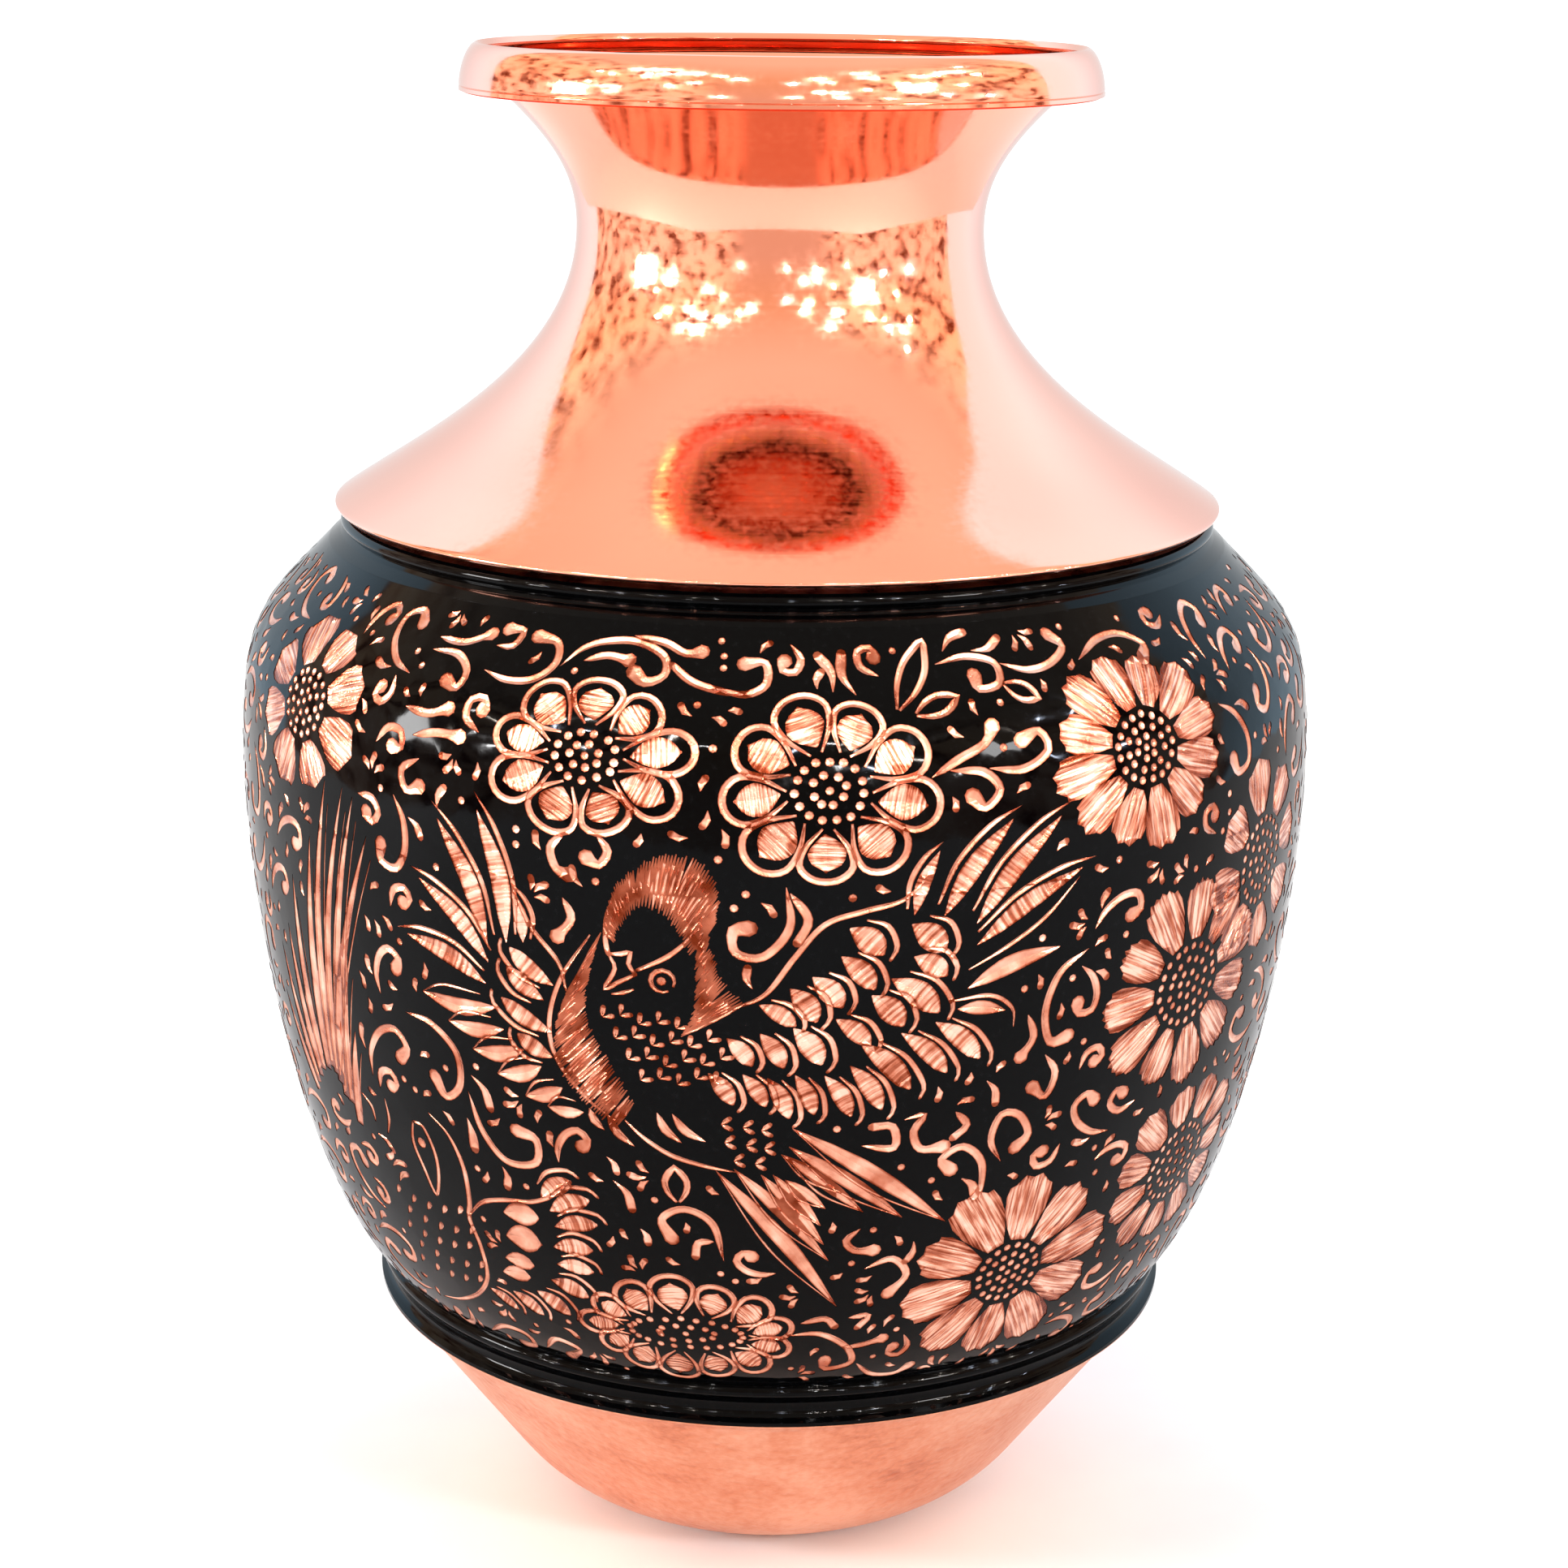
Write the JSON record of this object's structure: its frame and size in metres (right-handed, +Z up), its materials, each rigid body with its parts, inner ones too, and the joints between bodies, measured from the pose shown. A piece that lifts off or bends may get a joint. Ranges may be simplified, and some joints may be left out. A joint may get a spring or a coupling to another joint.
{
  "type": "copper vase",
  "caption": "Open vase of spun copper with a waisted neck, turned-down rim, full belly in engraved black lacquer and a tapered base cup.",
  "frame": {"origin": "centre of the flat bottom, on the surface that the vase stands on", "axes": "+Z up along the axis of revolution; the shape is the same all round, and -Y is the side whose engraving shows the large bird"},
  "size_m": [0.2, 0.2, 0.279],
  "materials": {
    "polished_copper": "spun copper, mirror polished",
    "satin_copper": "spun copper, pickled to a mottled satin",
    "engraved_copper": "bright-cut copper, laid bare by the graver",
    "black_lacquer": "stoved black lacquer, high gloss",
    "hard_solder": "hard solder, as run"
  },
  "bodies": {
    "root": {"rim_ring": "polished_copper", "rim_solder": "hard_solder", "neck_shell": "polished_copper", "shoulder_solder": "hard_solder", "belly_upper_half": "engraved_copper", "belly_seam_solder": "hard_solder", "belly_lower_half": "engraved_copper", "belly_lacquer": "black_lacquer", "cup_solder": "hard_solder", "base_cup": "satin_copper"}
  },
  "joints": []
}
